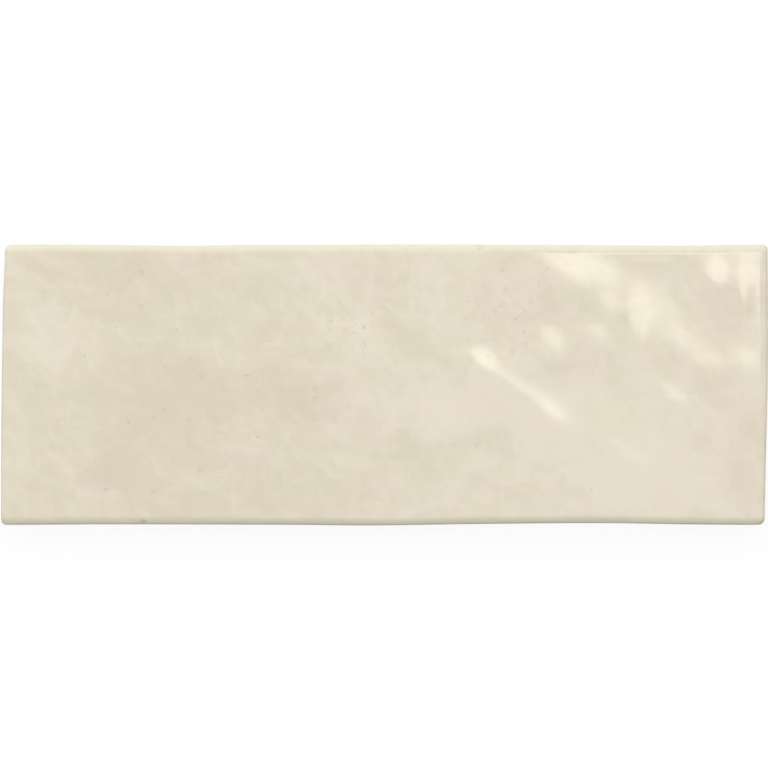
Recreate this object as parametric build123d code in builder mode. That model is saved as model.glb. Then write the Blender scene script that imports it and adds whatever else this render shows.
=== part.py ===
from build123d import *
from math import cos, exp, radians, sin
from typing import NamedTuple
import os

# A glazed ceramic wall tile, pressed to look hand made: one fired piece.
# The back lies on Z = 0, the glazed face looks up along +Z and the length runs along X.
# All sizes are in millimetres.

# Overall size of the true rectangle and of the level that the face waves about
length = 198.0
width = 72.5
thickness = 8.0

# Sides: upright under the face, then drawn in towards the back
upright_from = 4.0
side_draft = 0.6
edge_roll = 0.9
back_chamfer = 0.5

# The face falls away towards its rim from this far in, by this much at the long edges and less at the ends
fall_reach = 2.2
edge_fall = 0.75
end_fall = 0.25

# Keying pockets in the back
pocket_size = 18.0
pocket_depth = 0.6
pocket_corner = 2.0
pocket_draft_angle = 30.0
rib_width = 2.0
back_margin = 5.0

# The face is drawn through points that lie closer together towards its rim
face_pitch = 2.2
face_overhang = 1.5
crowding = radians(81)

# The blank stands this far above the face before the face is cut
blank_allowance = 3.0


class Wander(NamedTuple):
    """How far an edge strays out of the true rectangle, at a share of the way from its middle to its end."""

    share: float
    outward: float


class Swell(NamedTuple):
    """A rounded rise in the face, or a hollow where the rise is negative."""

    length_share: float
    width_share: float
    reach_along: float
    reach_across: float
    turn: float
    rise: float


# The four edges, each followed anticlockwise seen from the face, starting with the near one
near_wander = [
    Wander(-1.0, 0.0),
    Wander(-0.70, -0.12),
    Wander(-0.22, 0.0),
    Wander(-0.03, 0.15),
    Wander(0.25, -0.22),
    Wander(0.57, -0.45),
    Wander(0.80, -0.12),
    Wander(1.0, 0.0),
]
right_wander = [
    Wander(-1.0, -0.58),
    Wander(-0.6, -0.34),
    Wander(-0.1, 0.08),
    Wander(0.3, 0.22),
    Wander(1.0, 0.12),
]
far_wander = [
    Wander(-1.0, 0.05),
    Wander(-0.78, -0.23),
    Wander(-0.50, -0.10),
    Wander(-0.21, 0.06),
    Wander(0.20, 0.0),
    Wander(0.40, -0.10),
    Wander(0.55, -0.30),
    Wander(0.76, 0.0),
    Wander(1.0, 0.05),
]
left_wander = [
    Wander(-1.0, -0.80),
    Wander(-0.6, -0.30),
    Wander(-0.2, -0.06),
    Wander(0.35, 0.18),
    Wander(1.0, 0.22),
]
edge_wanders = [near_wander, right_wander, far_wander, left_wander]

# Radius of the corner that each edge starts from
corner_radii = [1.4, 1.8, 1.2, 1.8]

# The swells and hollows of the face
swells = [
    # A long ridge with a knuckle at each end
    Swell(0.34, -0.09, 16.0, 5.8, -37.0, 0.24),
    Swell(0.235, 0.13, 4.5, 4.0, -40.0, 0.14),
    Swell(0.43, -0.29, 5.0, 4.0, -40.0, 0.06),
    # Two knobs above it, and a low ridge beyond them
    Swell(0.41, 0.245, 7.5, 7.0, -40.0, 0.28),
    Swell(0.54, 0.335, 5.0, 4.5, -30.0, 0.185),
    Swell(0.575, 0.53, 9.0, 4.0, -42.0, 0.075),
    # A broad rise at the far edge
    Swell(0.45, 0.74, 11.0, 8.0, -15.0, 0.27),
    # A wide hollow with a steep left bank
    Swell(0.765, 0.70, 11.0, 10.0, 0.0, -0.18),
    Swell(0.645, 0.44, 3.3, 9.0, 0.0, 0.095),
    # Knobs in the corner, and low ones at the right
    Swell(0.845, 0.73, 5.0, 5.5, 0.0, 0.26),
    Swell(0.93, 0.66, 3.5, 8.0, 0.0, 0.15),
    Swell(0.82, 0.10, 5.0, 5.0, -40.0, 0.10),
    Swell(0.93, 0.12, 5.0, 5.0, 0.0, 0.10),
    Swell(0.755, 0.27, 4.5, 4.5, -40.0, 0.06),
    Swell(0.74, -0.12, 5.5, 4.5, -35.0, 0.14),
    Swell(0.62, -0.55, 10.0, 5.0, -37.0, 0.115),
    # The quieter rest
    Swell(-0.55, -0.10, 16.0, 7.0, -42.0, 0.18),
    Swell(-0.80, 0.30, 12.0, 9.0, -35.0, -0.15),
    Swell(-0.20, 0.30, 18.0, 9.0, -30.0, 0.15),
    Swell(-0.05, -0.50, 16.0, 9.0, -35.0, -0.18),
    Swell(-0.60, -0.70, 14.0, 8.0, -40.0, -0.12),
]


def wander_at(wander, share):
    """How far an edge strays outward at a share of the way along it, eased from place to place."""
    share = min(1.0, max(-1.0, share))
    for start, end in zip(wander, wander[1:]):
        if share <= end.share:
            break
    way = (share - start.share) / (end.share - start.share)
    return start.outward + (end.outward - start.outward) * way * way * (3 - 2 * way)


def rim_distances(x, y):
    """How far a place on the face is from the nearer end, and from the nearer long edge."""
    across = 2 * x / length
    up = 2 * y / width
    end = wander_at(right_wander, up) if x > 0 else wander_at(left_wander, -up)
    edge = wander_at(far_wander, -across) if y > 0 else wander_at(near_wander, across)
    return length / 2 + end - abs(x), width / 2 + edge - abs(y)


def face_height(x, y):
    """Height of the glazed face above the back."""
    height = thickness
    for from_rim, fall in zip(rim_distances(x, y), (end_fall, edge_fall)):
        height -= fall * max(0.0, 1 - from_rim / fall_reach) ** 2
    for swell in swells:
        turn = radians(swell.turn)
        from_x = x - swell.length_share * length / 2
        from_y = y - swell.width_share * width / 2
        along = from_x * cos(turn) + from_y * sin(turn)
        across = from_y * cos(turn) - from_x * sin(turn)
        height += swell.rise * exp(-((along / swell.reach_along) ** 2) - (across / swell.reach_across) ** 2)
    return height


def face_places(span):
    """Places across the face, a face pitch apart in the middle and closer towards both ends."""
    reach = span / 2 + face_overhang
    steps = round(2 * reach * crowding / sin(crowding) / face_pitch)
    shares = [2 * step / steps - 1 for step in range(steps + 1)]
    return [reach * sin(crowding * share) / sin(crowding) for share in shares]


def edge_point(turn, along, outward):
    """A point of the outline, given along the near edge and outward of it, turned to another edge."""
    return Vector(along, -outward).rotate(Axis.Z, turn)


def tile_outline(inset):
    """Draws the wandering outline, drawn in by the inset: four edges and the four corners between them."""
    edge_starts = []
    edge_ends = []
    edge_count = len(edge_wanders)
    for index, wander in enumerate(edge_wanders):
        turn = 360 / edge_count * index
        run, across = (length, width) if index % 2 == 0 else (width, length)
        stand_off = across / 2 - inset
        last = edge_wanders[index - 1]
        following = (index + 1) % edge_count
        start = inset - run / 2 - last[-1].outward + corner_radii[index]
        end = run / 2 - inset + edge_wanders[following][0].outward - corner_radii[following]
        points = [edge_point(turn, start, stand_off + wander[0].outward)]
        for place in wander[1:-1]:
            points.append(edge_point(turn, place.share * run / 2, stand_off + place.outward))
        points.append(edge_point(turn, end, stand_off + wander[-1].outward))
        direction = Vector(1, 0).rotate(Axis.Z, turn)
        Spline(*points, tangents=[direction, direction])
        edge_starts.append(points[0])
        edge_ends.append((points[-1], direction))
    for index, (corner_start, direction) in enumerate(edge_ends):
        TangentArc(corner_start, edge_starts[(index + 1) % edge_count], tangent=direction)


# The face as one smooth sheet, a little larger than the tile
face_sheet = Face.make_surface_from_array_of_points(
    [
        [Vector(x, y, face_height(x, y)) for x in face_places(length)]
        for y in face_places(width)
    ]
)

# The side from the back upward, as heights and how far it is drawn in there
side_profile = [
    (0.0, side_draft + back_chamfer),
    (back_chamfer, side_draft),
    (upright_from, 0.0),
    (thickness + blank_allowance, 0.0),
]

with BuildPart() as tile:
    # The pressed blank
    for height, inset in side_profile:
        with BuildSketch(Plane.XY.offset(height)):
            with BuildLine():
                tile_outline(inset)
            make_face()
    loft(ruled=True)

    # The waving face, cut from the blank, and its rolled edge
    extrude(face_sheet, amount=thickness, dir=(0, 0, 1), mode=Mode.SUBTRACT)
    face = tile.faces().sort_by(Axis.Z)[-1]
    fillet(face.outer_wire().edges(), edge_roll)

    # The waffle of keying pockets in the back
    pocket_fields = []
    for span in (length, width):
        field = span - 2 * back_margin
        count = int((field + rib_width) // (pocket_size + rib_width))
        pocket_fields.append((count, (field + rib_width) / count))
    (columns, pitch_along), (rows, pitch_across) = pocket_fields
    with BuildSketch(Plane.XY):
        with GridLocations(pitch_along, pitch_across, columns, rows):
            RectangleRounded(pitch_along - rib_width, pitch_across - rib_width, pocket_corner)
    extrude(amount=pocket_depth, taper=pocket_draft_angle, mode=Mode.SUBTRACT)

tile.part.label = "tile"

os.makedirs("parts", exist_ok=True)
export_step(tile.part, "parts/tile.step")
print("size", tile.part.bounding_box().size, "volume", tile.part.volume, "pockets", columns * rows)
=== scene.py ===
from math import atan, copysign, cos, exp, hypot, pi, radians, sin, tan
from typing import NamedTuple

import bmesh
import bpy
from bpy.props import FloatProperty, FloatVectorProperty, IntProperty, PointerProperty
from mathutils import Matrix, Vector


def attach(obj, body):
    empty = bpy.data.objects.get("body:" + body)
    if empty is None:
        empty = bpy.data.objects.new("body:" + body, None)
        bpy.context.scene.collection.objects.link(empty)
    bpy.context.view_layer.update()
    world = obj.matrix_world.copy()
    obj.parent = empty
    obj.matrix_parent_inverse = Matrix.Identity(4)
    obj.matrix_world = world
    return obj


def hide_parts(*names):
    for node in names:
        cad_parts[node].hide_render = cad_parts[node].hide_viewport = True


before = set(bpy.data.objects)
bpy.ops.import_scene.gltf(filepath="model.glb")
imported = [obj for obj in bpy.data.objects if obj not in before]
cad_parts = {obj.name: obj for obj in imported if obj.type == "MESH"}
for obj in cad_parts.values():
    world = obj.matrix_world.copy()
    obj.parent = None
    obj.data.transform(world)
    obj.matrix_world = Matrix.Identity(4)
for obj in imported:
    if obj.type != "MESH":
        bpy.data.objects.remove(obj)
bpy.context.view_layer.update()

bl_info = {
    "name": "Glazed wall tile",
    "version": (1, 0, 0),
    "blender": (4, 5, 0),
    "location": "3D View > Sidebar > Wall tile",
    "description": "Makes a fired wall tile with a waving glazed face, and the studio that shows it",
    "category": "Add Mesh",
}

# Lengths below are written in millimetres, and Blender works in metres
MM = 0.001

TILE_NODE = "tile"


class Wander(NamedTuple):
    """How far an edge strays out of the true rectangle, at a share of the way from its middle to its end."""

    share: float
    outward: float


class Swell(NamedTuple):
    """A rounded rise in the face, or a hollow where the rise is negative."""

    length_share: float
    width_share: float
    reach_along: float
    reach_across: float
    turn: float
    rise: float


class Ring(NamedTuple):
    """A line round the tile: how far it is drawn in, and its height, at the ends and at the long edges.

    Heights are from the face or from the back. A coarse ring is a true rectangle with few points.
    """

    insets: tuple
    heights: tuple
    from_face: bool = False
    coarse: bool = False


class Cloud(NamedTuple):
    """A soft patch in the glaze: its middle, its half length and half width, its turn and its weight."""

    x: float
    y: float
    reach_along: float
    reach_across: float
    turn: float
    weight: float


# The four edges, each followed anticlockwise seen from the face, starting with the near one
NEAR_WANDER = [
    Wander(-1.0, 0.0),
    Wander(-0.70, -0.12),
    Wander(-0.22, 0.0),
    Wander(-0.03, 0.15),
    Wander(0.25, -0.22),
    Wander(0.57, -0.45),
    Wander(0.80, -0.12),
    Wander(1.0, 0.0),
]
RIGHT_WANDER = [
    Wander(-1.0, -0.58),
    Wander(-0.6, -0.34),
    Wander(-0.1, 0.08),
    Wander(0.3, 0.22),
    Wander(1.0, 0.12),
]
FAR_WANDER = [
    Wander(-1.0, 0.05),
    Wander(-0.78, -0.23),
    Wander(-0.50, -0.10),
    Wander(-0.21, 0.06),
    Wander(0.20, 0.0),
    Wander(0.40, -0.10),
    Wander(0.55, -0.30),
    Wander(0.76, 0.0),
    Wander(1.0, 0.05),
]
LEFT_WANDER = [
    Wander(-1.0, -0.80),
    Wander(-0.6, -0.30),
    Wander(-0.2, -0.06),
    Wander(0.35, 0.18),
    Wander(1.0, 0.22),
]

# Corner radii, by the side along X and then along Y that the corner is on
CORNER_RADII = {(-1, -1): 1.4, (1, -1): 1.8, (1, 1): 1.2, (-1, 1): 1.8}

# The swells and hollows of the face
SWELLS = [
    # A long ridge with a knuckle at each end
    Swell(0.34, -0.09, 16.0, 5.8, -37.0, 0.24),
    Swell(0.235, 0.13, 4.5, 4.0, -40.0, 0.14),
    Swell(0.43, -0.29, 5.0, 4.0, -40.0, 0.06),
    # Two knobs above it, and a low ridge beyond them
    Swell(0.41, 0.245, 7.5, 7.0, -40.0, 0.28),
    Swell(0.54, 0.335, 5.0, 4.5, -30.0, 0.185),
    Swell(0.575, 0.53, 9.0, 4.0, -42.0, 0.075),
    # A broad rise at the far edge
    Swell(0.45, 0.74, 11.0, 8.0, -15.0, 0.27),
    # A wide hollow with a steep left bank
    Swell(0.765, 0.70, 11.0, 10.0, 0.0, -0.18),
    Swell(0.645, 0.44, 3.3, 9.0, 0.0, 0.095),
    # Knobs in the corner, and low ones at the right
    Swell(0.845, 0.73, 5.0, 5.5, 0.0, 0.26),
    Swell(0.93, 0.66, 3.5, 8.0, 0.0, 0.15),
    Swell(0.82, 0.10, 5.0, 5.0, -40.0, 0.10),
    Swell(0.93, 0.12, 5.0, 5.0, 0.0, 0.10),
    Swell(0.755, 0.27, 4.5, 4.5, -40.0, 0.06),
    Swell(0.74, -0.12, 5.5, 4.5, -35.0, 0.14),
    Swell(0.62, -0.55, 10.0, 5.0, -37.0, 0.115),
    # The quieter rest
    Swell(-0.55, -0.10, 16.0, 7.0, -42.0, 0.18),
    Swell(-0.80, 0.30, 12.0, 9.0, -35.0, -0.15),
    Swell(-0.20, 0.30, 18.0, 9.0, -30.0, 0.15),
    Swell(-0.05, -0.50, 16.0, 9.0, -35.0, -0.18),
    Swell(-0.60, -0.70, 14.0, 8.0, -40.0, -0.12),
]

# Fine ripples of the glaze on top of them, at most a twentieth of a millimetre high
RIPPLES = [
    Swell(0.575, 0.742, 3.5, 3.5, 0.0, 0.045),
    Swell(0.936, 0.566, 3.5, 3.5, 0.0, 0.045),
    Swell(0.879, 0.094, 4.0, 4.0, 0.0, 0.05),
    Swell(0.341, -0.036, 6.0, 3.0, -37.0, 0.03),
    Swell(0.73, 0.872, 7.5, 1.2, 0.0, 0.03),
]

# Patches where the glaze is pinker than the rest, or greener where the weight is negative
HUE_CLOUDS = [
    Cloud(-63.0, 30.0, 30.0, 10.0, 0.0, 0.8),
    Cloud(-68.0, 0.0, 20.0, 12.0, -35.0, 0.7),
    Cloud(-41.0, -2.0, 26.0, 16.0, -15.0, 0.9),
    Cloud(-16.0, -5.0, 20.0, 18.0, 0.0, 0.7),
    Cloud(-67.0, -24.0, 20.0, 12.0, -30.0, 0.8),
    Cloud(31.0, 24.0, 20.0, 15.0, -20.0, 0.9),
    Cloud(91.0, 21.0, 14.0, 11.0, 0.0, 0.9),
    Cloud(91.0, -18.0, 13.0, 26.0, 0.0, 0.8),
    Cloud(18.0, -2.0, 20.0, 8.0, 0.0, 0.6),
    Cloud(-37.0, -21.0, 14.0, 11.0, 0.0, 0.6),
    Cloud(-2.0, 29.0, 14.0, 9.0, 0.0, 0.6),
    Cloud(-52.0, 14.0, 24.0, 10.0, 5.0, -0.8),
    Cloud(11.0, -19.0, 34.0, 11.0, 3.0, -0.9),
    Cloud(8.0, 10.0, 22.0, 24.0, 0.0, -0.6),
    Cloud(-34.0, 25.0, 16.0, 12.0, 0.0, -0.6),
    Cloud(60.0, -10.0, 28.0, 14.0, -10.0, -0.7),
    Cloud(-93.0, 0.0, 10.0, 40.0, 0.0, -0.7),
]

# Patches where it lies thicker and darker than the rest, or thinner and paler where the weight is negative.
# The broad patch at the right is painted light that makes the right half paler, and the broad one at the left
# darkens the whole left half
DEPTH_AND_PAINTED_LIGHT_CLOUDS = [
    Cloud(-46.0, 1.0, 20.0, 10.0, -10.0, 0.9),
    Cloud(-58.0, -10.0, 12.0, 10.0, -35.0, 0.6),
    Cloud(-68.0, -22.0, 12.0, 10.0, 0.0, 0.6),
    Cloud(18.0, -17.5, 30.0, 7.0, 3.0, 0.7),
    Cloud(-70.0, 31.0, 26.0, 8.0, 0.0, 0.6),
    Cloud(-46.0, 16.0, 10.0, 7.0, 0.0, 0.5),
    Cloud(93.0, 18.0, 9.0, 12.0, 0.0, 0.6),
    Cloud(-25.0, -8.0, 26.0, 16.0, -20.0, 0.4),
    Cloud(-85.0, 11.0, 18.0, 12.0, 0.0, -0.7),
    Cloud(66.0, -25.0, 34.0, 14.0, 0.0, -0.5),
    # Painted light: the right half of the face paler, as if lit brighter
    Cloud(45.0, -12.0, 60.0, 30.0, -10.0, -0.6),
    # The whole left half of the face a little darker
    Cloud(-62.0, 0.0, 62.0, 70.0, 0.0, 0.6),
    Cloud(-38.0, -30.0, 40.0, 16.0, 0.0, 0.4),
    Cloud(10.0, -7.0, 24.0, 8.0, 0.0, -0.5),
    Cloud(-5.0, 15.0, 6.0, 9.0, 0.0, -0.7),
]

# Patches where pits crowd
PIT_CLOUDS = [
    Cloud(30.0, 22.0, 16.0, 22.0, 0.0, 1.0),
    Cloud(-9.0, 16.0, 14.0, 18.0, 0.0, 0.8),
    Cloud(-50.0, 0.0, 70.0, 44.0, 0.0, 0.20),
]

# Small brown spots
SPOT_CLOUDS = [
    Cloud(-62.4, -35.3, 1.3, 0.9, 0.0, 0.4),
]


def tone(red, green, blue):
    """A colour given as a screen shows it, from 0 to 255, turned into the linear values that shaders use."""
    shares = [level / 255 for level in (red, green, blue)]
    return [share / 12.92 if share <= 0.04045 else ((share + 0.055) / 1.055) ** 2.4 for share in shares]


def opaque(colour):
    """A colour with its alpha, as a colour socket takes it."""
    return (*colour, 1.0)


def size_value(name, description, millimetres):
    """A length that a user can change, given in millimetres."""
    return FloatProperty(
        name=name,
        description=description,
        default=millimetres * MM,
        unit="LENGTH",
        precision=5,
    )


def colour_value(name, description, linear):
    """A colour that a user can change."""
    return FloatVectorProperty(
        name=name,
        description=description,
        default=linear,
        subtype="COLOR",
        min=0,
        max=1,
    )


def level_value(name, description, level):
    """A brightness that a user can change."""
    return FloatProperty(name=name, description=description, default=level, min=0)


class TileSizes(bpy.types.PropertyGroup):
    """Sizes of the tile."""

    length: size_value("Length", "Length of the true rectangle", 198.0)
    width: size_value("Width", "Width of the true rectangle", 72.5)
    thickness: size_value("Thickness", "Level that the face waves about", 8.0)
    upright_from: size_value("Upright from", "Height at which the sides turn upright", 4.0)
    side_draft: size_value("Side draft", "How far the sides are drawn in towards the back", 0.6)
    edge_roll: size_value("Edge roll", "Radius of the rolled edge of the face", 0.9)
    back_chamfer: size_value("Back chamfer", "Chamfer round the back", 0.5)
    edge_fall: size_value("Edge fall", "How far the face falls away at its long edges", 0.75)
    end_fall: size_value("End fall", "How far the face falls away at its ends", 0.25)
    fall_reach: size_value("Fall reach", "How far in the face starts to fall", 2.2)
    pocket_size: size_value("Pocket size", "Least size of a keying pocket", 18.0)
    pocket_depth: size_value("Pocket depth", "Depth of a keying pocket", 0.6)
    pocket_corner: size_value("Pocket corner", "Corner radius of a keying pocket", 2.0)
    rib_width: size_value("Rib width", "Width of the ribs between pockets", 2.0)
    back_margin: size_value("Back margin", "Plain margin round the pockets", 5.0)
    pocket_draft: FloatProperty(
        name="Pocket draft",
        description="How far the walls of a pocket lean",
        default=radians(30),
        subtype="ANGLE",
    )
    clearance: size_value("Clearance", "How far the mesh stays inside the solid", 0.01)
    columns: IntProperty(name="Columns", description="Faces along the length of the face", default=320)
    rows: IntProperty(name="Rows", description="Faces across the width of the face", default=128)


class GlazeTones(bpy.types.PropertyGroup):
    """Colours of the glaze and the clay."""

    warm: colour_value("Warm", "Pinker glaze", tone(225.0, 213.6, 195.2))
    cool: colour_value("Cool", "Greener glaze", tone(223.0, 216.8, 196.2))
    # This tint also carries the painted light and shade of the broad glaze patches
    thick_and_shaded: colour_value("Thick", "Tint of the glaze where it lies thick", (0.88, 0.865, 0.84))
    rim: colour_value("Rim", "The glaze where it runs thin along the long edges", tone(219, 216, 193))
    pit: colour_value("Pit", "The pits of the glaze", tone(186, 172, 150))
    lip: colour_value("Lip", "The pale lips of the pits", tone(240, 232, 213))
    spot: colour_value("Spot", "Specks of iron in the glaze", tone(150, 128, 100))
    clay: colour_value("Clay", "The fired clay of the sides and back", tone(214, 196, 170))


class StudioLevels(bpy.types.PropertyGroup):
    """Light of the studio, as shares of a white that is lit from all over."""

    room: level_value("Room", "Light from all round", 0.17)
    side_box: level_value("Side box", "Brightness of the large soft box", 1.65)
    window: level_value("Window", "Brightness of the box that the glaze mirrors", 2.95)
    window_glow: level_value("Window glow", "Brightness round that box", 1.4)
    window_tint: colour_value("Window tint", "Colour of that box and its glow", (1.0, 0.95, 0.82))


def slope_at(wander, index):
    """How steeply an edge strays at one of its places, which is level at both ends."""
    if index in (0, len(wander) - 1):
        return 0.0
    before = wander[index - 1]
    after = wander[index + 1]
    return (after.outward - before.outward) / (after.share - before.share)


def wander_at(wander, share):
    """How far an edge strays outward, in metres, on a smooth curve through its places."""
    share = min(1.0, max(-1.0, share))
    index = 0
    while wander[index + 1].share < share:
        index += 1
    start = wander[index]
    end = wander[index + 1]
    run = end.share - start.share
    way = (share - start.share) / run
    rise = (end.outward - start.outward) * way ** 2 * (3 - 2 * way)
    leaving = slope_at(wander, index) * run * way * (1 - way) ** 2
    arriving = slope_at(wander, index + 1) * run * way ** 2 * (1 - way)
    return (start.outward + rise + leaving - arriving) * MM


def rounded(x, y, half_length, half_width):
    """Carries a point of a sharp rectangle into the same rectangle with rounded corners."""
    radius = CORNER_RADII[(copysign(1, x), copysign(1, y))] * MM
    from_x = abs(x) - half_length + radius
    from_y = abs(y) - half_width + radius
    if min(from_x, from_y) <= 0:
        return x, y
    pull = max(from_x, from_y) / hypot(from_x, from_y)
    return (
        copysign(half_length - radius + from_x * pull, x),
        copysign(half_width - radius + from_y * pull, y),
    )


def outline_place(sizes, across, up, insets):
    """Place of a point given by its shares of the half length and half width, in an outline drawn in.

    Also tells how far it belongs to an end: 1 on an end, 0 on a long edge, and between them round a corner.
    """
    half_length = sizes.length / 2 - sizes.clearance - insets[0]
    half_width = sizes.width / 2 - sizes.clearance - insets[1]
    x, y = rounded(across * half_length, up * half_width, half_length, half_width)
    to_end = half_length - abs(x)
    to_edge = half_width - abs(y)
    across = x / half_length
    up = y / half_width
    right = wander_at(RIGHT_WANDER, up)
    left = wander_at(LEFT_WANDER, -up)
    far = wander_at(FAR_WANDER, -across)
    near = wander_at(NEAR_WANDER, across)
    x += (right * (1 + across) - left * (1 - across)) / 2
    y += (far * (1 + up) - near * (1 - up)) / 2
    return x, y, to_edge / (to_edge + to_end)


def rim_distances(sizes, x, y):
    """How far a place on the face is from the nearer end, and from the nearer long edge."""
    across = 2 * x / sizes.length
    up = 2 * y / sizes.width
    end = wander_at(RIGHT_WANDER, up) if x > 0 else wander_at(LEFT_WANDER, -up)
    edge = wander_at(FAR_WANDER, -across) if y > 0 else wander_at(NEAR_WANDER, across)
    return sizes.length / 2 + end - abs(x), sizes.width / 2 + edge - abs(y)


def fall_at(sizes, fall, inset):
    """How far the face has fallen at a distance from its rim."""
    return fall * max(0.0, 1 - inset / sizes.fall_reach) ** 2


def face_height(sizes, x, y):
    """Height of the glazed face above the back."""
    height = sizes.thickness - sizes.clearance
    for inset, fall in zip(rim_distances(sizes, x, y), (sizes.end_fall, sizes.edge_fall)):
        height -= fall_at(sizes, fall, inset)
    for swell in SWELLS + RIPPLES:
        turn = radians(swell.turn)
        from_x = x / MM - swell.length_share * sizes.length / 2 / MM
        from_y = y / MM - swell.width_share * sizes.width / 2 / MM
        along = from_x * cos(turn) + from_y * sin(turn)
        across = from_y * cos(turn) - from_x * sin(turn)
        spread = (along / swell.reach_along) ** 2 + (across / swell.reach_across) ** 2
        height += swell.rise * MM * exp(-spread)
    return height


def roll_start(sizes, fall):
    """Angle that the face has reached where the rolled edge takes over from it."""
    angle = 0.0
    for _ in range(20):
        inset = sizes.edge_roll * (1 - sin(angle))
        angle = atan(2 * fall / sizes.fall_reach * (1 - inset / sizes.fall_reach))
    return angle


def roll_point(sizes, fall, share):
    """How far in the rolled edge lies at a share of the way over it, and its height from the face's line."""
    first = roll_start(sizes, fall)
    turn = first + (pi / 2 - first) * share
    start = sizes.edge_roll * (1 - sin(first))
    inset = sizes.edge_roll * (1 - sin(turn))
    turned_down = sizes.edge_roll * (cos(first) - cos(turn))
    return inset, fall_at(sizes, fall, inset) - fall_at(sizes, fall, start) - turned_down


def side_rings(sizes):
    """The lines round the tile, from the edge of its face over the roll and down the side to the back."""
    roll_steps = 8
    falls = (sizes.end_fall, sizes.edge_fall)
    rings = []
    for step in range(roll_steps + 1):
        insets, heights = zip(*(roll_point(sizes, fall, step / roll_steps) for fall in falls))
        rings.append(Ring(insets, heights, from_face=True))
    side_profile = [
        (sizes.upright_from, 0.0),
        (sizes.back_chamfer, sizes.side_draft),
        (0.0, sizes.side_draft + sizes.back_chamfer),
    ]
    for height, inset in side_profile:
        rings.append(Ring((inset, inset), (height, height)))
    # The last line lies in the plain margin of the back, short of the pockets
    margin_share = 0.6
    plain = sizes.back_margin * margin_share
    rings.append(Ring((plain, plain), (0.0, 0.0), coarse=True))
    return rings


def coarse_place(sizes, across, up, ring):
    """Place on a coarse ring of one of its few points, the one nearest to the given shares."""
    steps_along = 22
    steps_across = 8
    x = round(across * steps_along) / steps_along * (sizes.length / 2 - ring.insets[0])
    y = round(up * steps_across) / steps_across * (sizes.width / 2 - ring.insets[1])
    return Vector((x, y, ring.heights[0]))


def tile_place(sizes, across, up, ring):
    """Place on the tile of a point of the flat sheet, or of a ring turned down from it."""
    crowding = radians(81)
    across = sin(crowding * across) / sin(crowding)
    up = sin(crowding * up) / sin(crowding)
    if ring.coarse:
        return coarse_place(sizes, across, up, ring)
    x, y, end_share = outline_place(sizes, across, up, ring.insets)
    end_height, edge_height = ring.heights
    height = edge_height + (end_height - edge_height) * end_share
    if ring.from_face:
        height += face_height(sizes, x, y)
    return Vector((x, y, height))


def pocket_spots(sizes):
    """Length and width of a keying pocket, and the middles of all the pockets."""
    spots = []
    fields = []
    for span in (sizes.length, sizes.width):
        field = span - 2 * sizes.back_margin
        count = int((field + sizes.rib_width) // (sizes.pocket_size + sizes.rib_width))
        fields.append((count, (field + sizes.rib_width) / count))
    (columns, pitch_along), (rows, pitch_across) = fields
    for column in range(columns):
        for row in range(rows):
            x = (column - (columns - 1) / 2) * pitch_along
            y = (row - (rows - 1) / 2) * pitch_across
            spots.append((x, y, 0.0))
    return pitch_along - sizes.rib_width, pitch_across - sizes.rib_width, spots


def press_pockets(bm, sizes):
    """Makes one keying pocket, open at the back, and sets copies of it all over the back."""
    pocket_length, pocket_width, spots = pocket_spots(sizes)
    before = set(bm.faces)
    shape = Matrix.Diagonal((pocket_length, pocket_width, 1.0, 1.0))
    corners = bmesh.ops.create_grid(bm, x_segments=1, y_segments=1, size=0.5, matrix=shape)["verts"]
    bmesh.ops.bevel(
        bm,
        geom=corners,
        offset=sizes.pocket_corner,
        affect="VERTICES",
        segments=5,
        profile=0.5,
        material=-1,
    )
    mouth = [face for face in bm.faces if face not in before]
    bmesh.ops.inset_region(
        bm,
        faces=mouth,
        thickness=sizes.pocket_depth * tan(sizes.pocket_draft),
        depth=sizes.pocket_depth,
        use_even_offset=True,
        use_boundary=True,
    )
    pocket = [face for face in bm.faces if face not in before]
    for spot in spots[1:]:
        copied = bmesh.ops.duplicate(bm, geom=pocket)["geom"]
        corners = [item for item in copied if isinstance(item, bmesh.types.BMVert)]
        bmesh.ops.translate(bm, verts=corners, vec=spot)
    first = {corner for face in pocket for corner in face.verts}
    bmesh.ops.translate(bm, verts=list(first), vec=spots[0])


def press_tile(sizes):
    """Makes the mesh of the tile: a sheet turned down at its edges, shaped, and closed by the keyed back."""
    sharp_angle = radians(35)
    same_place = 0.001 * MM
    bm = bmesh.new()
    bmesh.ops.create_grid(bm, x_segments=sizes.columns, y_segments=sizes.rows, size=1.0)
    rings = side_rings(sizes)
    rim = [edge for edge in bm.edges if edge.is_boundary]
    for _ in rings[1:]:
        turned = bmesh.ops.extrude_edge_only(bm, edges=rim)["geom"]
        rim = [item for item in turned if isinstance(item, bmesh.types.BMEdge) and item.is_boundary]
        lowered = [item for item in turned if isinstance(item, bmesh.types.BMVert)]
        bmesh.ops.translate(bm, verts=lowered, vec=(0.0, 0.0, -1.0))
    for point in bm.verts:
        point.co = tile_place(sizes, point.co.x, point.co.y, rings[round(-point.co.z)])
    bmesh.ops.remove_doubles(bm, verts=bm.verts, dist=same_place)
    press_pockets(bm, sizes)
    open_edges = [edge for edge in bm.edges if edge.is_boundary]
    bmesh.ops.triangle_fill(bm, edges=open_edges, use_beauty=True, normal=(0.0, 0.0, -1.0))
    bmesh.ops.recalc_face_normals(bm, faces=bm.faces)
    if any(not edge.is_manifold for edge in bm.edges):
        raise RuntimeError("the tile's mesh is not closed")
    for face in bm.faces:
        face.smooth = True
    for edge in bm.edges:
        edge.smooth = edge.calc_face_angle() < sharp_angle
    mesh = bpy.data.meshes.new("glazed_tile")
    bm.to_mesh(mesh)
    bm.free()
    return mesh


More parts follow.
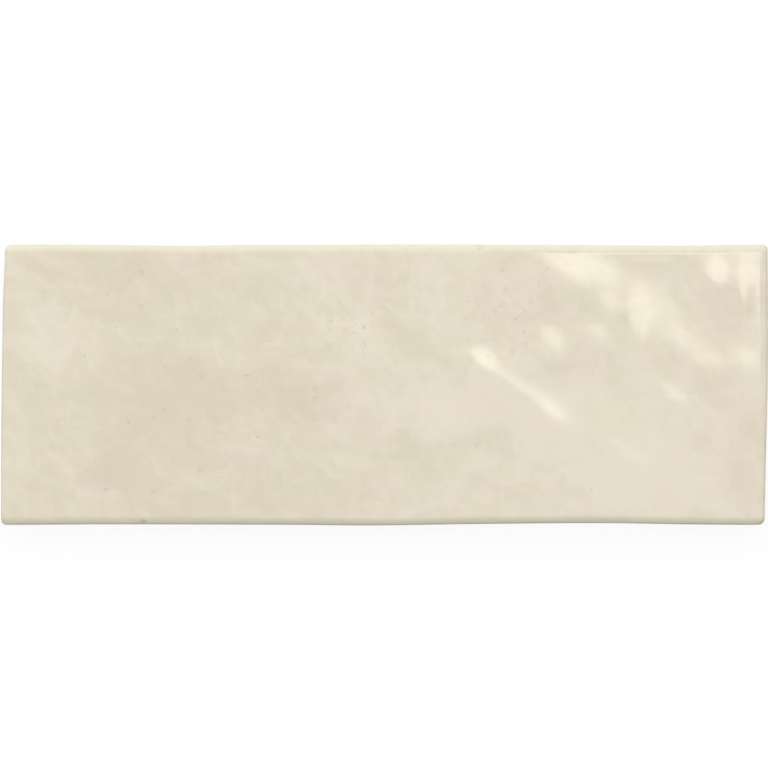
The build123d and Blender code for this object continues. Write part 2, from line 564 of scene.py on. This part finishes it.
class Wire:
    """A socket of a node tree. Sums, differences and products of wires add the Math nodes that they need."""

    def __init__(self, tree, socket=None):
        self.tree = tree
        self.socket = socket

    def node(self, kind, settings, values, output=0):
        """Adds a node, sets it up, fills its sockets with values or wires, and gives one of its outputs."""
        made = self.tree.nodes.new(kind)
        for name, setting in settings.items():
            setattr(made, name, setting)
        for name, value in values.items():
            if isinstance(value, Wire):
                self.tree.links.new(value.socket, made.inputs[name])
            else:
                made.inputs[name].default_value = value
        return Wire(self.tree, made.outputs[output]) if len(made.outputs) else None

    def maths(self, operation, first, second):
        """Adds a Math node."""
        return self.node("ShaderNodeMath", {"operation": operation}, {0: first, 1: second})

    def __add__(self, other):
        return self.maths("ADD", self, other)

    def __radd__(self, other):
        return self.maths("ADD", other, self)

    def __sub__(self, other):
        return self.maths("SUBTRACT", self, other)

    def __rsub__(self, other):
        return self.maths("SUBTRACT", other, self)

    def __mul__(self, other):
        return self.maths("MULTIPLY", self, other)

    def __rmul__(self, other):
        return self.maths("MULTIPLY", other, self)

    def stepped(self, low, high):
        """From 0 at the low value to 1 at the high one, eased at both ends."""
        values = {"Value": self, "From Min": low, "From Max": high}
        return self.node("ShaderNodeMapRange", {"interpolation_type": "SMOOTHSTEP"}, values)

    def mixed(self, first, second, blend="MIX"):
        """A colour between two others, by this wire, or the first one tinted by the second."""
        settings = {"data_type": "RGBA", "blend_type": blend}
        return self.node("ShaderNodeMix", settings, {0: self, 6: first, 7: second}, 2)


def drawn_out(place, times, turn=0.0):
    """The place that a pattern is read from, so that its lumps are some times as long along a turned X."""
    values = {"Vector": place, "Rotation": (0.0, 0.0, radians(turn)), "Scale": (times, 1.0, 1.0)}
    return place.node("ShaderNodeMapping", {"vector_type": "TEXTURE"}, values)


def grain(place, size, detail=2.0, output="Fac"):
    """Noise whose lumps are about the given size, in millimetres."""
    values = {"Vector": place, "Scale": 1 / (size * MM), "Detail": detail}
    return place.node("ShaderNodeTexNoise", {}, values, output)


def shaken(place, size, reach, detail=2.0):
    """The place moved about at random, by up to about the reach and in lumps of the size, in millimetres."""
    stir = grain(place, size, detail, "Color")
    stir = place.node("ShaderNodeVectorMath", {"operation": "SUBTRACT"}, {0: stir, 1: (0.5, 0.5, 0.5)})
    stir = place.node("ShaderNodeVectorMath", {"operation": "SCALE"}, {0: stir, "Scale": 2 * reach * MM})
    return place.node("ShaderNodeVectorMath", {"operation": "ADD"}, {0: place, 1: stir})


def clouded(place, clouds):
    """How strongly a list of soft patches covers each place."""
    cover = 0.0
    for cloud in clouds:
        values = {
            "Vector": place,
            "Location": (cloud.x * MM, cloud.y * MM, 0.0),
            "Rotation": (0.0, 0.0, radians(cloud.turn)),
            "Scale": (cloud.reach_along * MM, cloud.reach_across * MM, 1.0),
        }
        spot = place.node("ShaderNodeMapping", {"vector_type": "TEXTURE"}, values)
        fade = place.node("ShaderNodeTexGradient", {"gradient_type": "SPHERICAL"}, {"Vector": spot}, "Fac")
        cover = cover + fade.stepped(0.0, 1.0) * cloud.weight
    return cover


def glaze_material(tones):
    """Glossy cream glaze, clouded and pitted, over fired clay that stays bare low on the sides and behind."""
    material = bpy.data.materials.new("cream_glaze")
    material.use_nodes = True
    tree = material.node_tree
    tree.nodes.clear()
    start = Wire(tree)

    place = start.node("ShaderNodeTexCoord", {}, {}, "Object")
    sideways = start.node("ShaderNodeSeparateXYZ", {}, {"Vector": place}, "Y")
    height = start.node("ShaderNodeSeparateXYZ", {}, {"Vector": place}, "Z")
    drifted = shaken(place, 14.0, 9.0, 3.0)

    # Cloudy all over, and brushed on along the length
    mottled = grain(drawn_out(place, 1.4, -20.0), 9.0, 5.0)
    blotched = grain(drawn_out(drifted, 1.5, -35.0), 10.0, 6.0)
    curdled = grain(drawn_out(drifted, 1.5, -35.0), 3.0, 4.0)
    brushed = grain(drawn_out(place, 5.0), 2.5, 3.0)

    warm = (clouded(drifted, HUE_CLOUDS) + (mottled - 0.5) * 3.0).stepped(-1.2, 1.2)
    uneven = (blotched - 0.5) * 2.6 + (curdled - 0.5) * 1.9 + (brushed - 0.5) * 0.8
    # Thick glaze darkens by this mask, which also carries painted light over the right half and darkens the
    # whole left half
    thick_and_shaded = (clouded(drifted, DEPTH_AND_PAINTED_LIGHT_CLOUDS) + uneven).stepped(-1.0, 1.4)

    # Pits, in a pattern of cells of which only a few have any, in small groups
    cell_size = 3.0 * MM
    crowded_share = 0.9
    stray_share = 0.01
    faintest_group = 0.18
    group_range = 0.26
    cells = {"Vector": shaken(place, 0.9, 0.5), "Scale": 1 / cell_size}
    settings = {"voronoi_dimensions": "2D"}
    to_pit = place.node("ShaderNodeTexVoronoi", settings, cells, "Distance")
    lot = place.node("ShaderNodeTexVoronoi", settings, cells, "Color")
    chance = place.node("ShaderNodeSeparateColor", {}, {"Color": lot}, "Red")
    depth = place.node("ShaderNodeSeparateColor", {}, {"Color": lot}, "Green")
    crowding = clouded(drifted, PIT_CLOUDS) * crowded_share + stray_share
    has_pits = (crowding - chance).stepped(-0.005, 0.005)
    speckle = grain(place, 0.55, 1.0)
    strength = depth * group_range + faintest_group
    group = (1 - to_pit.stepped(0.10, 0.38)) * has_pits * strength
    pit = group * speckle.stepped(0.48, 0.60)
    lip = group * (1 - speckle.stepped(0.30, 0.40))

    # The glaze runs thin along the long edges of the face, and thickens again down the sides
    thin_from = 34.4 * MM
    thin_to = 35.9 * MM
    thick_below = 5.5 * MM
    thin_above = 6.9 * MM
    rim = sideways.maths("ABSOLUTE", sideways, 0.0).stepped(thin_from, thin_to)
    rim = rim * height.stepped(thick_below, thin_above)

    # Bare clay below an uneven line on the sides
    bare_below = 4.2 * MM
    glazed_above = 4.7 * MM
    unevenness = 2.0 * MM
    glazed = (height + (grain(place, 4.0, 2.0) - 0.5) * unevenness).stepped(bare_below, glazed_above)

    rim_strength = 0.85
    lip_strength = 0.8
    colour = warm.mixed(opaque(tones.cool), opaque(tones.warm))
    # Darker where the glaze lies thick, with painted light over the right half and the left half darker
    colour = thick_and_shaded.mixed(colour, opaque(tones.thick_and_shaded), "MULTIPLY")
    colour = (rim * rim_strength).mixed(colour, opaque(tones.rim))
    colour = pit.mixed(colour, opaque(tones.pit))
    colour = (lip * lip_strength).mixed(colour, opaque(tones.lip))
    colour = clouded(place, SPOT_CLOUDS).mixed(colour, opaque(tones.spot))

    # The clay is gritty and a little blotched
    grit = grain(place, 0.7, 3.0)
    clay_shade = (grain(place, 12.0, 3.0) * 0.5 + grit * 0.5).stepped(0.3, 0.7)
    dark_share = 0.86
    dark_clay = [dark_share * level for level in tones.clay]
    clay = clay_shade.mixed(opaque(dark_clay), opaque(tones.clay))
    colour = glazed.mixed(clay, colour)

    # Relief: a soft orange peel and pits in the glaze, grit in the clay
    peel_depth = 0.003 * MM
    pit_depth = 0.02 * MM
    grit_depth = 0.08 * MM
    peel = grain(place, 2.5, 2.0) * peel_depth
    relief = (peel - pit * pit_depth) * glazed + grit * (1 - glazed) * grit_depth
    bump = place.node("ShaderNodeBump", {}, {"Height": relief, "Distance": 1.0, "Strength": 1.0})

    clay_roughness = 0.85
    glaze_smoothness = 0.78
    pit_roughness = 0.2
    roughness = clay_roughness - glazed * (glaze_smoothness - pit * pit_roughness)
    values = {"Base Color": colour, "Roughness": roughness, "Normal": bump, "IOR": 1.5}
    glaze = place.node("ShaderNodeBsdfPrincipled", {}, values)
    place.node("ShaderNodeOutputMaterial", {}, {"Surface": glaze})
    return material


def seen_directly(start):
    """1 for what the camera sees, straight, in a gloss or through glass, and 0 for light on its way."""
    seen = 0.0
    for ray in ("Is Camera Ray", "Is Glossy Ray", "Is Transmission Ray"):
        seen = seen + start.node("ShaderNodeLightPath", {}, {}, ray)
    return start.node("ShaderNodeClamp", {}, {"Value": seen})


def floor_material():
    """A floor that looks white, with a faint shadow, and throws back only some of the light."""
    shadow_share = 0.08
    material = bpy.data.materials.new("white_floor")
    material.use_nodes = True
    tree = material.node_tree
    tree.nodes.clear()
    start = Wire(tree)
    grey = start.node("ShaderNodeBsdfDiffuse", {}, {"Color": (0.5, 0.5, 0.5, 1.0)})
    pale = start.node("ShaderNodeBsdfDiffuse", {}, {"Color": (0.95, 0.95, 0.95, 1.0)})
    white = start.node("ShaderNodeEmission", {}, {"Color": (1.0, 1.0, 1.0, 1.0), "Strength": 1.0})
    shaded = start.node("ShaderNodeMixShader", {}, {0: shadow_share, 1: white, 2: pale})
    lit = start.node("ShaderNodeMixShader", {}, {0: seen_directly(start), 1: grey, 2: shaded})
    start.node("ShaderNodeOutputMaterial", {}, {"Surface": lit})
    return material


def lit_room(level):
    """A world that lights the tile evenly from all round, and looks white, but greyer on the near side."""
    near_whiteness = 0.4
    world = bpy.data.worlds.new("studio")
    world.use_nodes = True
    tree = world.node_tree
    tree.nodes.clear()
    start = Wire(tree)
    direction = start.node("ShaderNodeTexCoord", {}, {}, "Generated")
    farther = start.node("ShaderNodeSeparateXYZ", {}, {"Vector": direction}, "Y").stepped(-0.7, 0.1)
    whiteness = seen_directly(start) * (farther * (1 - near_whiteness) + near_whiteness)
    room = start.node("ShaderNodeBackground", {}, {"Color": (1.0, 1.0, 1.0, 1.0), "Strength": level})
    white = start.node("ShaderNodeBackground", {}, {"Color": (1.0, 1.0, 1.0, 1.0), "Strength": 1.0})
    seen = start.node("ShaderNodeMixShader", {}, {0: whiteness, 1: room, 2: white})
    start.node("ShaderNodeOutputWorld", {}, {"Surface": seen})
    return world


def soft_box(name, place, target, size, brightness, tint=(1.0, 1.0, 1.0), mirrored=True):
    """A rectangular soft box that faces the target and glows with the given brightness and tint.

    One that isn't mirrored lights the tile and doesn't show in its gloss.
    """
    light = bpy.data.lights.new(name, "AREA")
    light.shape = "RECTANGLE"
    light.size, light.size_y = size
    light.energy = brightness * pi * size[0] * size[1]
    light.color = tint
    box = bpy.data.objects.new(name, light)
    bpy.context.scene.collection.objects.link(box)
    box.location = place
    box.rotation_euler = (Vector(target) - Vector(place)).to_track_quat("-Z", "Y").to_euler()
    box.visible_camera = False
    box.visible_glossy = mirrored
    return box


class WALLTILE_OT_press(bpy.types.Operator):
    """Makes the tile, with its waving face, rolled edges, drawn-in sides and keyed back"""

    bl_idname = "wall_tile.press"
    bl_label = "Make the tile"

    def execute(self, context):
        piece = bpy.data.objects.new("glazed_tile", press_tile(context.scene.tile_sizes))
        context.scene.collection.objects.link(piece)
        piece.data.materials.append(glaze_material(context.scene.glaze_tones))
        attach(piece, "root")
        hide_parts(TILE_NODE)
        return {"FINISHED"}


class WALLTILE_OT_stage(bpy.types.Operator):
    """Lays the floor and sets the lights and the camera above the tile"""

    bl_idname = "wall_tile.stage"
    bl_label = "Set the stage"

    def execute(self, context):
        scene = context.scene
        levels = scene.studio_levels
        sizes = scene.tile_sizes
        scene.view_settings.view_transform = "Standard"
        scene.world = lit_room(levels.room)

        # The floor that the tile lies on
        floor_reach = 6.0
        bm = bmesh.new()
        bmesh.ops.create_grid(bm, x_segments=1, y_segments=1, size=floor_reach)
        floor_mesh = bpy.data.meshes.new("floor")
        bm.to_mesh(floor_mesh)
        bm.free()
        floor = bpy.data.objects.new("floor", floor_mesh)
        scene.collection.objects.link(floor)
        floor.data.materials.append(floor_material())

        # A large box beyond the far edge, and a window overhead that the glaze mirrors, with a glow round it
        middle = (0.0, 0.0, sizes.thickness)
        soft_box("side_box", (-0.2, 0.8, 1.4), middle, (6.4, 2.8), levels.side_box, mirrored=False)
        tint = levels.window_tint
        soft_box("window", (0.24, 0.265, 3.0), middle, (0.44, 0.26), levels.window, tint)
        soft_box("window_glow", (0.23, 0.254, 3.0), middle, (0.52, 0.34), levels.window_glow, tint)

        # The camera looks straight down, and its frame is this wide at the rim of the face
        frame_width = 198.65 * MM
        frame_middle = (-0.12 * MM, 0.22 * MM)
        camera_height = 3.0
        lens = bpy.data.cameras.new("camera")
        lens.lens = lens.sensor_width * (camera_height - sizes.thickness) / frame_width
        camera = bpy.data.objects.new("camera", lens)
        scene.collection.objects.link(camera)
        camera.location = (*frame_middle, camera_height)
        scene.camera = camera
        return {"FINISHED"}


class WALLTILE_PT_panel(bpy.types.Panel):
    """The tile's sizes and colours, and the steps that make it"""

    bl_idname = "WALLTILE_PT_panel"
    bl_label = "Wall tile"
    bl_space_type = "VIEW_3D"
    bl_region_type = "UI"
    bl_category = "Wall tile"

    def draw(self, context):
        scene = context.scene
        for group in (scene.tile_sizes, scene.glaze_tones, scene.studio_levels):
            box = self.layout.box()
            for name in group.__annotations__:
                box.prop(group, name)
        self.layout.operator(WALLTILE_OT_press.bl_idname)
        self.layout.operator(WALLTILE_OT_stage.bl_idname)


CLASSES = [TileSizes, GlazeTones, StudioLevels, WALLTILE_OT_press, WALLTILE_OT_stage, WALLTILE_PT_panel]


def register():
    for kind in CLASSES:
        bpy.utils.register_class(kind)
    bpy.types.Scene.tile_sizes = PointerProperty(type=TileSizes)
    bpy.types.Scene.glaze_tones = PointerProperty(type=GlazeTones)
    bpy.types.Scene.studio_levels = PointerProperty(type=StudioLevels)


def unregister():
    del bpy.types.Scene.studio_levels
    del bpy.types.Scene.glaze_tones
    del bpy.types.Scene.tile_sizes
    for kind in reversed(CLASSES):
        bpy.utils.unregister_class(kind)


def main():
    register()
    bpy.ops.wall_tile.press()
    bpy.ops.wall_tile.stage()


if __name__ == "__main__":
    main()
